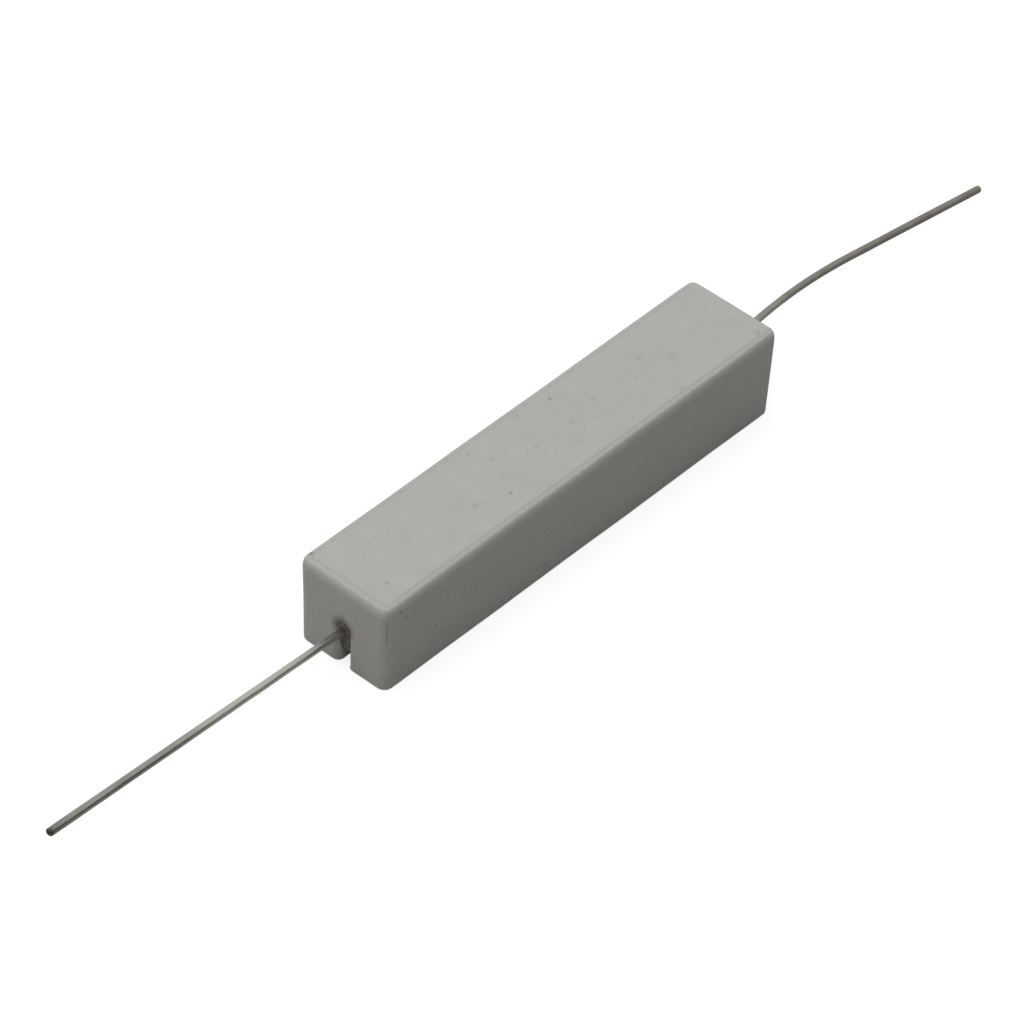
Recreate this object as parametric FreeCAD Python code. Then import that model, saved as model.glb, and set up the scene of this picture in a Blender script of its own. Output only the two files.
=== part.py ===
# Cement-filled wire-wound power resistor: a ceramic trough with two wire leads.
# Millimetres. +X runs from the near end to the far end and +Z is up, with the trough's closed face on top.
# The origin is the centre of the level plane that the trough's rim stands on.

import FreeCAD
import Part
import math
import os

# Trough, outside
LENGTH = 63.0
WIDTH = 12.65
HEIGHT = 11.75
END_DRAFT = 0.36
SIDE_DRAFT = 0.16
UPRIGHT_RADIUS = 1.1
TOP_RADIUS = 0.7
RIM_RADIUS = 0.2

# Closed face: a low bead all round, with a shallow pan inside it
BEAD_INSET = 0.75
PAN_INSET_SIDE = 1.35
PAN_INSET_END = 1.7
PAN_DEPTH = 0.1

# Trough, inside
SIDE_WALL = 1.6
END_WALL = 2.4
CLOSED_WALL = 1.8
POCKET_DRAFT = 0.2
POCKET_RADIUS = 1.2
POCKET_FLOOR_RADIUS = 0.8

# Arch-topped slot in each end wall, with a round flare at its mouth
SLOT_WIDTH = 1.26
SLOT_FLARE = 1.0
SLOT_LIFT = 0.05

# Cement: its level above the rim's plane, and the tongue that fills each slot and most of its flare
CEMENT_LEVEL = 1.3
TONGUE_FOOT = 1.6
TONGUE_RECESS = 0.35
TONGUE_FRONT_RADIUS = 2.2

# Wound element, on the axis of the leads
AXIS_HEIGHT = 5.01
CORE_LENGTH = 48.0
CORE_RADIUS = 2.0
STRIP_WIDTH = 1.0
STRIP_THICKNESS = 0.2
WINDING_LENGTH = 46.0
WINDING_TURNS = 8
CAP_WALL = 0.4
CAP_LENGTH = 6.0
CAP_BEVEL = 0.25

# Leads: the corners of each route in plan, from the cap outwards, and the bend radius at each inner corner
LEAD_RADIUS = 0.425
LEAD_TIP_BEVEL = 0.15
NEAR_ROUTE = [(-24.4, 0.0), (-31.4, 0.0), (-73.45, 1.12)]
NEAR_BENDS = [4.0]
FAR_ROUTE = [(24.4, 0.0), (31.7, 0.0), (34.9, 1.03), (45.68, 1.834), (72.42, -2.11)]
FAR_BENDS = [1.5, 25.0, 66.0]

# How far a cutting shape runs past the surface that it cuts
OVERRUN = 2.0

ORIGIN = FreeCAD.Vector(0, 0, 0)
ALONG = FreeCAD.Vector(1, 0, 0)
ACROSS = FreeCAD.Vector(0, 1, 0)
UP = FreeCAD.Vector(0, 0, 1)


def level_edges(shape, z, tolerance=0.01):
    """Edges of a shape that lie wholly in the level plane at height z."""
    boxes = [(edge, edge.BoundBox) for edge in shape.Edges]
    return [edge for edge, box in boxes if abs(box.ZMin - z) < tolerance and abs(box.ZMax - z) < tolerance]


def rounded_rectangle(length, width, radius, z):
    """Closed wire: a rectangle with round corners, centred on the Z axis at height z."""
    plate = Part.makeBox(length, width, 1, FreeCAD.Vector(-length / 2, -width / 2, z))
    uprights = [edge for edge in plate.Edges if edge.BoundBox.ZLength > 0.5]
    rounded = plate.makeFillet(radius, uprights)
    return Part.Wire(Part.__sortEdges__(level_edges(rounded, z)))


def drafted_block(low_size, high_size, low_z, high_z, upright_radius):
    """Block with four flat walls between a level rectangle at low_z and one at high_z, and round uprights."""
    low_x, low_y = low_size[0] / 2, low_size[1] / 2
    high_x, high_y = high_size[0] / 2, high_size[1] / 2
    block = Part.makeWedge(-low_x, low_z, -low_y, -high_y, -high_x, low_x, high_z, low_y, high_y, high_x)
    block.rotate(ORIGIN, ALONG, 90)
    uprights = [edge for edge in block.Edges if edge.BoundBox.ZLength > (high_z - low_z) / 2]
    return block.makeFillet(upright_radius, uprights)


def outer_block():
    """Outside of the trough: drafted walls, round uprights and a soft edge to the closed face."""
    rim = (LENGTH - 2 * END_DRAFT, WIDTH - 2 * SIDE_DRAFT)
    block = drafted_block(rim, (LENGTH, WIDTH), 0, HEIGHT, UPRIGHT_RADIUS)
    block = block.makeFillet(TOP_RADIUS, level_edges(block, HEIGHT))
    return block.makeFillet(RIM_RADIUS, level_edges(block, 0))


def pan():
    """Shallow pan with sloping sides, which leaves a bead along the edge of the closed face."""
    floor_length = LENGTH - 2 * PAN_INSET_END
    floor_width = WIDTH - 2 * PAN_INSET_SIDE
    floor = rounded_rectangle(floor_length, floor_width, UPRIGHT_RADIUS, HEIGHT - PAN_DEPTH)
    crest = rounded_rectangle(LENGTH - 2 * BEAD_INSET, WIDTH - 2 * BEAD_INSET, UPRIGHT_RADIUS, HEIGHT)
    above = Part.Face(crest).extrude(UP * PAN_DEPTH)
    return Part.makeLoft([floor, crest], True, True).fuse(above)


def pocket(bottom_z):
    """Inside of the trough from the level bottom_z up to the closed wall, a little narrower at the top."""
    top_z = HEIGHT - CLOSED_WALL
    length = LENGTH - 2 * END_DRAFT - 2 * END_WALL
    width = WIDTH - 2 * SIDE_DRAFT - 2 * SIDE_WALL
    taper = 2 * POCKET_DRAFT * bottom_z / top_z
    bottom = (length - taper, width - taper)
    top = (length - 2 * POCKET_DRAFT, width - 2 * POCKET_DRAFT)
    space = drafted_block(bottom, top, bottom_z, top_z, POCKET_RADIUS)
    return space.makeFillet(POCKET_FLOOR_RADIUS, level_edges(space, top_z))


def slot_prism(inner_x, outer_x):
    """Slot along X: half round above the level z = 0, with straight sides below it."""
    radius = SLOT_WIDTH / 2
    length = outer_x - inner_x
    start = FreeCAD.Vector(inner_x, 0, 0)
    arch = Part.makeCylinder(radius, length, start, ALONG)
    sides = Part.makeBox(length, SLOT_WIDTH, HEIGHT, start - ACROSS * radius - UP * HEIGHT)
    return arch.fuse(sides).removeSplitter()


def slot_flare():
    """Round flare of the slot's mouth. The end face is the plane x = 0, with the wall behind it."""
    half = SLOT_WIDTH / 2
    wide = half + SLOT_FLARE
    bow = SLOT_FLARE * math.sqrt(0.5)
    root = FreeCAD.Vector(-SLOT_FLARE, half, 0)
    bulge = FreeCAD.Vector(bow - SLOT_FLARE, wide - bow, 0)
    lip = FreeCAD.Vector(0, wide, 0)
    outside = FreeCAD.Vector(OVERRUN, wide, 0)
    corners = [lip, outside, FreeCAD.Vector(OVERRUN, 0, 0), FreeCAD.Vector(-SLOT_FLARE, 0, 0), root]
    edges = [Part.LineSegment(first, last).toShape() for first, last in zip(corners, corners[1:])]
    edges.append(Part.Arc(root, bulge, lip).toShape())
    profile = Part.Face(Part.Wire(edges))
    arch = profile.revolve(ORIGIN, ALONG, 180)
    left = profile.extrude(UP * -HEIGHT)
    return arch.fuse([left, left.mirror(ORIGIN, ACROSS)]).removeSplitter()


def at_end(shape, side):
    """Place a shape made for the plane x = 0 on the drafted end face of the given side, +1 or -1."""
    lean = math.degrees(math.atan(END_DRAFT / HEIGHT))
    arch_height = AXIS_HEIGHT + SLOT_LIFT
    face_x = LENGTH / 2 - END_DRAFT * (1 - arch_height / HEIGHT)
    placed = shape.copy()
    placed.rotate(ORIGIN, ACROSS, lean)
    placed.translate(ALONG * face_x + UP * arch_height)
    return placed if side > 0 else placed.mirror(ORIGIN, ALONG)


def ceramic_case():
    """Ceramic trough with its pan, its pocket and a flared slot in each end wall."""
    slot = slot_prism(-END_WALL - OVERRUN, OVERRUN)
    cutters = [pan(), pocket(-OVERRUN)]
    for side in (-1, 1):
        cutters.append(at_end(slot, side))
        cutters.append(at_end(slot_flare(), side))
    return outer_block().cut(cutters)


def rod(radius, length, start_x):
    """Cylinder on the element's axis, from start_x towards +X."""
    return Part.makeCylinder(radius, length, ALONG * start_x + UP * AXIS_HEIGHT, ALONG)


def cap_bore():
    """Inner radius of an end cap, which is pressed over the wound strip."""
    return CORE_RADIUS + STRIP_THICKNESS


def cap_blank():
    """Outer form of the far end cap: a cylinder with a bevel round its outer end."""
    end_x = CORE_LENGTH / 2 + CAP_WALL
    blank = rod(cap_bore() + CAP_WALL, CAP_LENGTH, end_x - CAP_LENGTH)
    rim = [edge for edge in blank.Edges if edge.BoundBox.XMin > end_x - CAP_BEVEL]
    return blank.makeChamfer(CAP_BEVEL, rim)


def end_cap(side):
    """Pressed steel cap: an end plate against the core, and a skirt round the last turns of strip."""
    inside = rod(cap_bore(), CAP_LENGTH, CORE_LENGTH / 2 - CAP_LENGTH)
    cap = cap_blank().cut(inside)
    return cap if side > 0 else cap.mirror(ORIGIN, ALONG)


def core_rod():
    """Ceramic rod that carries the winding."""
    return rod(CORE_RADIUS, CORE_LENGTH, -CORE_LENGTH / 2)


def resistance_winding():
    """One open helix of resistance strip on the core. Its last turns run on under the caps."""
    run = WINDING_LENGTH - STRIP_WIDTH
    spine = Part.makeHelix(run / WINDING_TURNS, run, CORE_RADIUS)
    inner = FreeCAD.Vector(CORE_RADIUS, 0, 0)
    outer = FreeCAD.Vector(cap_bore(), 0, 0)
    across_strip = UP * STRIP_WIDTH
    section = Part.makePolygon([inner, outer, outer + across_strip, inner + across_strip, inner])
    winding = Part.Wire(spine.Edges).makePipeShell([section], True, True)
    winding.rotate(ORIGIN, ACROSS, 90)
    winding.translate(UP * AXIS_HEIGHT - ALONG * (WINDING_LENGTH / 2))
    return winding


def route_wire(points, bends):
    """Straight runs joined by tangent arcs, level at the height of the element's axis."""
    corners = [FreeCAD.Vector(x, y, AXIS_HEIGHT) for x, y in points]
    edges = []
    last = corners[0]
    for corner, after, radius in zip(corners[1:], corners[2:], bends):
        back = (last - corner).normalize()
        onward = (after - corner).normalize()
        half_turn = (math.pi - back.getAngle(onward)) / 2
        start = corner + back * (radius * math.tan(half_turn))
        end = corner + onward * (radius * math.tan(half_turn))
        middle = corner + (back + onward).normalize() * (radius / math.cos(half_turn) - radius)
        edges.append(Part.LineSegment(last, start).toShape())
        edges.append(Part.Arc(start, middle, end).toShape())
        last = end
    edges.append(Part.LineSegment(last, corners[-1]).toShape())
    return Part.Wire(edges)


def lead(points, bends):
    """Tinned wire lead along its route, with a small bevel round the clipped tip."""
    start = FreeCAD.Vector(points[0][0], points[0][1], AXIS_HEIGHT)
    tip = FreeCAD.Vector(points[-1][0], points[-1][1], AXIS_HEIGHT)
    section = Part.Wire([Part.Circle(start, ALONG, LEAD_RADIUS).toShape()])
    wire = route_wire(points, bends).makePipeShell([section], True, False)
    rims = [edge for edge in wire.Edges if edge.Closed]
    tip_rim = min(rims, key=lambda edge: (edge.CenterOfMass - tip).Length)
    return wire.makeChamfer(LEAD_TIP_BEVEL, [tip_rim])


def below_level(z):
    """Block that holds everything below the level z."""
    corner = FreeCAD.Vector(-LENGTH, -WIDTH, z - HEIGHT)
    return Part.makeBox(2 * LENGTH, 2 * WIDTH, HEIGHT, corner)


def tongue(side):
    """Cement in the slot and its flare, from the pocket to a rounded front a little behind the end face."""
    back_x = -END_WALL - OVERRUN
    axis_x = -TONGUE_RECESS - TONGUE_FRONT_RADIUS
    front = Part.makeCylinder(TONGUE_FRONT_RADIUS, 2 * HEIGHT, FreeCAD.Vector(axis_x, 0, -HEIGHT), UP)
    back = Part.makeBox(axis_x - back_x, WIDTH, 2 * HEIGHT, FreeCAD.Vector(back_x, -WIDTH / 2, -HEIGHT))
    mouth = slot_prism(back_x, 0).fuse(slot_flare())
    return at_end(mouth.common(front.fuse(back)), side).cut(below_level(TONGUE_FOOT))


def element():
    """Everything that the cement is poured round: the wound core, its caps and the leads."""
    wound_core = rod(cap_bore(), CORE_LENGTH, -CORE_LENGTH / 2)
    caps = [cap_blank(), cap_blank().mirror(ORIGIN, ALONG)]
    return wound_core.fuse(caps + [lead(NEAR_ROUTE, NEAR_BENDS), lead(FAR_ROUTE, FAR_BENDS)])


def cement_fill():
    """Cement poured round the element, short of the rim, with a tongue in each slot."""
    body = pocket(CEMENT_LEVEL).fuse([tongue(-1), tongue(1)])
    return body.cut(element()).removeSplitter()


def main():
    """Write every piece of the resistor, each under its own name."""
    pieces = {
        "ceramic_case": ceramic_case(),
        "cement_fill": cement_fill(),
        "core_rod": core_rod(),
        "resistance_winding": resistance_winding(),
        "end_cap_near": end_cap(-1),
        "end_cap_far": end_cap(1),
        "lead_near": lead(NEAR_ROUTE, NEAR_BENDS),
        "lead_far": lead(FAR_ROUTE, FAR_BENDS),
    }
    os.makedirs("parts", exist_ok=True)
    for name, shape in pieces.items():
        print(name, "solids", len(shape.Solids), "valid", shape.isValid(), "mm3", round(shape.Volume, 2))
        shape.Solids[0].exportStep(os.path.join("parts", name + ".step"))


main()
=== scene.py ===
"""Looks of a cement-filled wire-wound resistor, built round its packed model.

Sizes in the code are millimetres unless they say metres.
"""

import math

import bmesh
import bpy
import numpy as np
from mathutils import Matrix, Vector


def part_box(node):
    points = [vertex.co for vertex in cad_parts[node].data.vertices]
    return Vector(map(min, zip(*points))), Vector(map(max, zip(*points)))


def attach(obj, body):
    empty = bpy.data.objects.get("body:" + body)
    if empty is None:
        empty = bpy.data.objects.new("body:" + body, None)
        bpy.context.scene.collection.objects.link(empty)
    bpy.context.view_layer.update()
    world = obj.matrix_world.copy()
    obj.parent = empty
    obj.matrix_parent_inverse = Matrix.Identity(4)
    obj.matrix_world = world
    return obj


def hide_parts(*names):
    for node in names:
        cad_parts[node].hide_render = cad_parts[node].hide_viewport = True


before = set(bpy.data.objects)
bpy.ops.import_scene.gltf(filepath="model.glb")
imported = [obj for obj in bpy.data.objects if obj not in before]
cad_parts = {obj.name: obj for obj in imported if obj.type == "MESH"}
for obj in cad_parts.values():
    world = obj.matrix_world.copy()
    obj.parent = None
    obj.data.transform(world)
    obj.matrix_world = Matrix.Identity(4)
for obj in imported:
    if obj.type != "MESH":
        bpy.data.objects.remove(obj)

bl_info = {
    "name": "Cement resistor",
    "version": (1, 0, 0),
    "blender": (4, 5, 0),
    "location": "3D View > Sidebar > Resistor",
    "description": "Builds the ceramic body, cement, wound element and leads of a power resistor",
    "category": "Add Mesh",
}

MM = 0.001
BODY_LOW, BODY_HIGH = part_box("ceramic_case")
LEAD_LOW, LEAD_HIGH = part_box("lead_near")
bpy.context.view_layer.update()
AXIS_Z = (LEAD_LOW.z + LEAD_HIGH.z) / 2 / MM
ARCH_Z = AXIS_Z + 0.05

# What the rounding of the top edges takes off the drafted body at each end and side
END_HIDDEN, SIDE_HIDDEN = 0.022, 0.009
HEIGHT = BODY_HIGH.z / MM
HALF_LENGTH = BODY_HIGH.x / MM + END_HIDDEN
HALF_WIDTH = BODY_HIGH.y / MM + SIDE_HIDDEN

# Depth of the groove at the bead's foot, and its place and width as shares of the way up
GROOVE_DEPTH, GROOVE_AT, GROOVE_WIDTH = 0.012, 0.2, 0.18

# Radii of the bead's crest and the pocket's corners in plan, how far the pocket leans in, and its rounded edges
CREST_RADIUS = 0.55
POCKET_RADIUS, POCKET_LEAN, POCKET_ROUND, POCKET_EDGE = 1.2, 0.2, 0.8, 0.15

# Plan corners and bend radii of the two leads, from the end caps outwards
NEAR_ROUTE = ((-24.4, 0.0), (-31.4, 0.0), (-73.45, 1.12))
NEAR_BENDS = (4.0,)
FAR_ROUTE = ((24.4, 0.0), (31.7, 0.0), (34.9, 1.03), (45.68, 1.834), (72.42, -2.11))
FAR_BENDS = (1.5, 25.0, 66.0)

# How far apart the rings of a wire are, and how close points are merged, in metres
WIRE_STEP = 0.28
MERGE_DISTANCE = 2e-7

# Handling marks on the ceramic: centre, radius and strength
DARK_MARKS = (
    ((5.52, 4.11, 11.65), 0.34, 0.5), ((-8.45, -2.9, 11.65), 0.36, 0.55), ((-7.2, -0.61, 11.65), 0.32, 0.3),
    ((-24.99, 5.97, 11.6), 0.36, 0.55), ((-30.18, 5.78, 11.66), 0.42, 0.8), ((-27.74, -2.94, 11.65), 0.36, 0.5),
    ((-1.23, 0.05, 11.65), 0.46, 0.25), ((29.46, -4.8, 11.65), 0.5, 0.35), ((-21.81, -6.27, 8.09), 0.45, 0.45),
    ((-29.13, -6.3, 10.67), 0.36, 0.5), ((-28.32, -6.3, 9.23), 0.4, 0.45), ((-23.52, -6.25, 4.74), 0.45, 0.35),
    ((-28.51, -6.2, 2.2), 0.4, 0.4), ((-14.54, -6.3, 9.26), 0.45, 0.35), ((-6.2, -6.2, 1.83), 0.45, 0.35),
    ((-31.35, 3.75, 9.3), 0.22, 0.35), ((-31.35, 4.4, 7.4), 0.2, 0.3), ((-31.2, -3.1, 4.9), 0.24, 0.3),
    ((-31.4, 1.6, 8.6), 0.2, 0.22),
)
# Brown marks on the closed face: place in plan, radius and strength
BROWN_MARKS = (
    (9.05, 1.91, 0.5, 0.35), (8.79, 0.81, 0.45, 0.35), (17.28, 1.67, 0.45, 0.35), (20.18, -0.56, 0.5, 0.3),
    (14.56, -0.44, 0.45, 0.3), (1.07, 4.74, 0.55, 0.25), (4.32, -0.14, 0.55, 0.25), (2.75, -2.85, 0.6, 0.25),
    (-7.16, 4.49, 0.45, 0.3), (-6.01, 2.21, 0.5, 0.3), (-12.62, -1.54, 0.55, 0.35), (-11.87, -1.86, 0.45, 0.3),
    (16.9, -4.87, 0.55, 0.35),
)
BROWN_Z = 11.65
# Noise moves the points of a mark by up to half its radius, or half of this where it is less
RAGGED_MOST = 0.7

# Upright scratch by the near corner: its place in plan, and the heights of its foot and top
SCRATCH_AT, SCRATCH_RISE = (-31.03, -6.14), (7.2, 10.8)

# Dark line at the foot of the bead, dirt with painted shade in its groove: its inset, and the edges in X and Y that it
# is measured from
VALLEY_INSET = 0.88
VALLEY_EDGES = (0.1 - BODY_HIGH.x / MM, -BODY_HIGH.y / MM)

# Marks at both ends, with X outwards and some squeezed along each axis: on the ceramic, the cement and the wire
# Brown cement mark on the ceramic, with painted shade round the slot's mouth
HALO_STAIN_AND_SHADE = ((31.1, -0.15, 5.6), 2.3, 1.35, (0.5, 1.15, 1.0))
RUST = ((31.0, -0.35, 4.3), 0.5, 0.85, (1.0, 1.0, 0.8))
# Painted shade on the cement under the arch, over the lead
OVER_LEAD_SHADE = ((31.05, -0.1, 6.1), 1.1, 0.4)
# Painted shadow on the cement below the lead, at the tongue's foot
SHADOW_BELOW = ((30.6, -0.3, 1.6), 0.9, 0.9, (1.0, 1.0, 1.6))
# Darker on the wire where it leaves the body
ROOT = ((31.4, 0.0, 4.95), 2.6, 0.6)
RUST_COLOUR = (0.11, 0.052, 0.02)
# Colour of the painted shade over the lead
OVER_LEAD_SHADE_COLOUR = (0.1, 0.088, 0.07)
# Colour of the painted shadow below the lead
SHADOW_BELOW_COLOUR = (0.02, 0.018, 0.012)

# Burnt spot at the near tip, and the ranges of X over which the far wire ages, the near one gets a painted highlight,
# and that fades
BURNT = ((-73.4, 1.0, 5.2), 0.8, 1.3)
AGED_RANGE, HIGHLIGHT_RANGE, FADE_RANGE = (31.0, 46.0), (-57.0, -49.0), (-34.0, 34.0)

# The stage, in metres: the floor's height, the flag's corners, the soft box in plan, and the camera
FLOOR_Z = -6e-5
FLAG_CORNERS = ((-0.45, -0.36, 0.0), (0.3, -0.36, 0.0), (0.3, -0.42, 0.34), (-0.45, -0.42, 0.34))
LAMP_PLACE = (-0.14, 0.12)
CAMERA_PLACE = (-0.373711, -0.312482, 0.456779)
CAMERA_TURN = ((0.672267, 0.487287, -0.557323), (-0.73935, 0.480236, -0.471948), (0.037672, 0.729332, 0.683122))
SENSOR_WIDTH = 36.0


# ---- Settings ----


def length_setting(name, description, default_mm):
    """A length property in metres from a default in millimetres."""
    return bpy.props.FloatProperty(
        name=name,
        description=description,
        default=default_mm * MM,
        min=0.0,
        unit="LENGTH",
        precision=5,
    )


def colour_setting(name, thing, default):
    """A thing's colour as a property, linear."""
    return bpy.props.FloatVectorProperty(
        name=name,
        description=f"Colour of {thing}",
        default=default,
        size=3,
        min=0.0,
        max=1.0,
        subtype="COLOR",
    )


class ResistorBodySettings(bpy.types.PropertyGroup):
    """Sizes and colours of the ceramic body."""

    end_draft: length_setting("End draft", "How far each end leans in from the closed face to the rim", 0.36)
    side_draft: length_setting("Side draft", "How far each long side leans in from the closed face to the rim", 0.16)
    upright_radius: length_setting("Upright radius", "Rounding of the four upright edges", 1.1)
    top_side: length_setting("Top edge, sides", "Width of the rounding over the long walls", 0.58)
    top_end: length_setting("Top edge, ends", "Width of the rounding over the end walls", 0.6)
    top_down: length_setting("Top edge, down", "Height of the rounding over the end walls", 1.35)
    side_down: length_setting("Top edge, sides down", "Height of the rounding over the long walls", 1.25)
    rim_radius: length_setting("Rim radius", "Rounding of the rim's outer edge", 0.2)
    pan_side: length_setting("Pan inset, sides", "From a long side to the floor of the shallow pan", 1.15)
    pan_end: length_setting("Pan inset, ends", "From an end to the floor of the shallow pan", 1.25)
    pan_depth: length_setting("Pan depth", "Depth of the shallow pan inside the bead", 0.07)
    side_wall: length_setting("Side wall", "Thickness of the long walls at the rim", 1.6)
    end_wall: length_setting("End wall", "Thickness of the end walls at the rim", 2.4)
    closed_wall: length_setting("Closed wall", "Thickness of the closed face", 1.8)
    slot_width: length_setting("Slot width", "Width of the arch-topped slot for a lead", 1.12)
    slot_flare: length_setting("Slot flare", "Rounding of the slot's mouth", 1.15)
    waviness: length_setting("Waviness", "Unevenness that pressing and firing leave", 0.03)
    colour: colour_setting("Ceramic", "the fired ceramic", (0.438, 0.434, 0.408))
    # The brown mark colour, darkened, also paints the shade round each slot's mouth
    stain_and_shade: colour_setting("Stain", "brown handling marks", (0.2, 0.165, 0.12))
    # The dark mark colour also tints the painted shade in the bead's groove
    soot_and_shade: colour_setting("Dark mark", "dark specks and scuffs", (0.12, 0.115, 0.105))


class ResistorCementSettings(bpy.types.PropertyGroup):
    """Sizes and colours of the cement."""

    level: length_setting("Level", "Height of the cement above the rim's plane", 1.3)
    tongue_foot: length_setting("Tongue foot", "Height of the underside of the cement in each slot", 1.6)
    tongue_recess: length_setting("Tongue recess", "Depth of that cement behind the end face, at the lead", 0.22)
    tongue_slope: length_setting("Tongue slope", "How much deeper its foot lies", 0.5)
    roughness: length_setting("Roughness", "Height of the grains on the cement", 0.1)
    colour: colour_setting("Cement", "the cement", (0.15, 0.128, 0.095))
    aggregate: colour_setting("Grains", "the pale grains", (0.26, 0.235, 0.18))


class ResistorLeadSettings(bpy.types.PropertyGroup):
    """Sizes and colours of the tinned wire leads."""

    radius: length_setting("Radius", "Radius of the tinned wire", 0.425)
    tip_round: length_setting("Tip rounding", "Rounding of the clipped tip", 0.3)
    tip_slant: length_setting("Tip slant", "How far the clipped face leans over the wire", 0.08)
    thickening: length_setting("Thickening", "How much the tinning adds to the radius towards the near tip", 0.06)
    unevenness: length_setting("Unevenness", "Ripple of the tinning", 0.01)
    colour: colour_setting("Tinned wire", "the tinning", (0.31, 0.305, 0.275))
    tarnish: colour_setting("Tarnish", "dull and oxidised patches", (0.14, 0.13, 0.1))


class ResistorElementSettings(bpy.types.PropertyGroup):
    """Colours of the wound element inside the cement."""

    core: colour_setting("Core", "the ceramic rod", (0.62, 0.6, 0.55))
    strip: colour_setting("Strip", "the resistance strip", (0.24, 0.22, 0.19))
    cap: colour_setting("Caps", "the steel caps", (0.42, 0.41, 0.38))


class ResistorStageSettings(bpy.types.PropertyGroup):
    """Floor, light and camera."""

    floor_size: length_setting("Floor", "Width of the floor", 6000.0)
    lens: bpy.props.FloatProperty(name="Lens", description="Focal length of the camera in millimetres", default=216.7)
    lamp_size: length_setting("Lamp size", "Width of the soft box", 1300.0)
    lamp_height: length_setting("Lamp height", "Height of the soft box", 950.0)
    lamp_power: bpy.props.FloatProperty(name="Lamp power", description="Power of the soft box", default=10.6)
    room: colour_setting("Room", "the light from the room round the stage", (0.255, 0.255, 0.255))
    flag: colour_setting("Flag", "the dark flag on the camera's side", (0.03, 0.03, 0.03))


SETTINGS = {
    "resistor_body": ResistorBodySettings,
    "resistor_cement": ResistorCementSettings,
    "resistor_leads": ResistorLeadSettings,
    "resistor_element": ResistorElementSettings,
    "resistor_stage": ResistorStageSettings,
}


def in_mm(settings, *names):
    """Length settings in millimetres: a number for one name, a list for more."""
    values = [getattr(settings, name) / MM for name in names]
    return values if len(values) > 1 else values[0]


# ---- Surfaces ----

LATTICE_WAVES = np.array([12.9898, 78.233, 37.719])
LATTICE_SHIFT, LATTICE_SIZE = 4.1, 43758.5453


def steps(count, end=1.0):
    """Even steps from 0 up to an end that is left out."""
    return np.linspace(0, end, count, endpoint=False)


def lattice_values(cells, seed):
    """A repeatable number from 0 to 1 for each whole-number point: the fraction left by a large sine."""
    phase = cells @ LATTICE_WAVES + LATTICE_SHIFT * seed
    return np.modf(np.abs(np.sin(phase)) * LATTICE_SIZE)[0]


def value_noise(points, size, seed):
    """Smooth noise from -1 to 1: lattice numbers a set size apart, blended with a smooth step along each axis."""
    scaled = np.asarray(points) / size
    cell = np.floor(scaled)
    part = scaled - cell
    part = part * part * (3 - 2 * part)
    total = np.zeros(scaled.shape[:-1])
    for corner in np.ndindex(2, 2, 2):
        weight = np.prod(np.where(np.array(corner) == 1, part, 1 - part), axis=-1)
        total += weight * lattice_values(cell + corner, seed)
    return 2 * total - 1


def wander(points, size, amount, seed):
    """Moves each point by smooth noise of its own along each axis."""
    shift = [value_noise(points, size, seed + axis) for axis in range(3)]
    return points + amount * np.stack(shift, axis=-1)


def arc_rows(first, corner, last, count):
    """Quarter ellipse from one rail to another, tangent to the lines from each to the corner rail.

    The last row is left out.
    """
    turn = steps(count, math.pi / 2)[:, None, None]
    return corner + (first - corner) * (1 - np.sin(turn)) + (last - corner) * (1 - np.cos(turn))


def line_rows(first, last, count):
    """Straight rows from one rail to another. The last row is left out."""
    share = steps(count)[:, None, None]
    return first + (last - first) * share


def mirrored_loop(quarter):
    """Closed loop of columns from those of one quarter, mirrored in Y and then in X."""
    half = np.concatenate([quarter, quarter[:, ::-1] * [1, -1, 1]], axis=1)
    return np.concatenate([half, half[:, ::-1] * [-1, 1, 1]], axis=1)


def grid_faces(rows, columns, start=0):
    """Quads of a grid whose columns close on themselves."""
    index = np.arange(rows * columns).reshape(rows, columns) + start
    after = np.roll(index, -1, axis=1)
    return np.stack([index[:-1], after[:-1], after[1:], index[1:]], axis=-1).reshape(-1, 4)


def add_object(name, data):
    """A new object in the scene."""
    made = bpy.data.objects.new(name, data)
    bpy.context.scene.collection.objects.link(made)
    return made


def finish_mesh(name, grids, replaced, coordinates=None):
    """Object from closed-column grids in millimetres, with poles and seams merged and normals facing out.

    It rides on the body.
    """
    points, faces, start = [], [], 0
    for grid in grids:
        points.append(grid.reshape(-1, 3) * MM)
        faces.append(grid_faces(grid.shape[0], grid.shape[1], start))
        start += grid.shape[0] * grid.shape[1]
    mesh = bpy.data.meshes.new(name)
    mesh.from_pydata(np.concatenate(points).tolist(), [], np.concatenate(faces).tolist())
    if coordinates is not None:
        layer = mesh.uv_layers.new(name="along_wire")
        layer.data.foreach_set("uv", coordinates.ravel())
    work = bmesh.new()
    work.from_mesh(mesh)
    bmesh.ops.remove_doubles(work, verts=work.verts, dist=MERGE_DISTANCE)
    bmesh.ops.recalc_face_normals(work, faces=work.faces)
    work.to_mesh(mesh)
    work.free()
    mesh.polygons.foreach_set("use_smooth", np.ones(len(mesh.polygons), dtype=bool))
    mesh.update()
    piece = add_object(name, mesh)
    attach(piece, "root")
    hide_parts(replaced)
    return piece


# ---- Ceramic body ----

SIDE_STEPS = steps(48)
CORNER_STEPS = steps(10, math.pi / 2)
END_STEPS = steps(9)
FOOT_STEPS = steps(6, math.pi / 2)
RISE_STEPS = steps(14)
ARCH_STEPS = np.linspace(0, math.pi / 2, 12)
FOOT_ROUND = 0.12
FAN = (3.0, 2.7, 1.8, 0.0)


def end_face(body, z):
    """X of the drafted end wall at a height."""
    return HALF_LENGTH - in_mm(body, "end_draft") * (1 - z / HEIGHT)


def side_face(body, z):
    """Y of the drafted long wall at a height."""
    return HALF_WIDTH - in_mm(body, "side_draft") * (1 - z / HEIGHT)


def pocket_half(body):
    """Half the pocket's length and half its width at the rim."""
    return end_face(body, 0) - in_mm(body, "end_wall"), side_face(body, 0) - in_mm(body, "side_wall")


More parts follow.
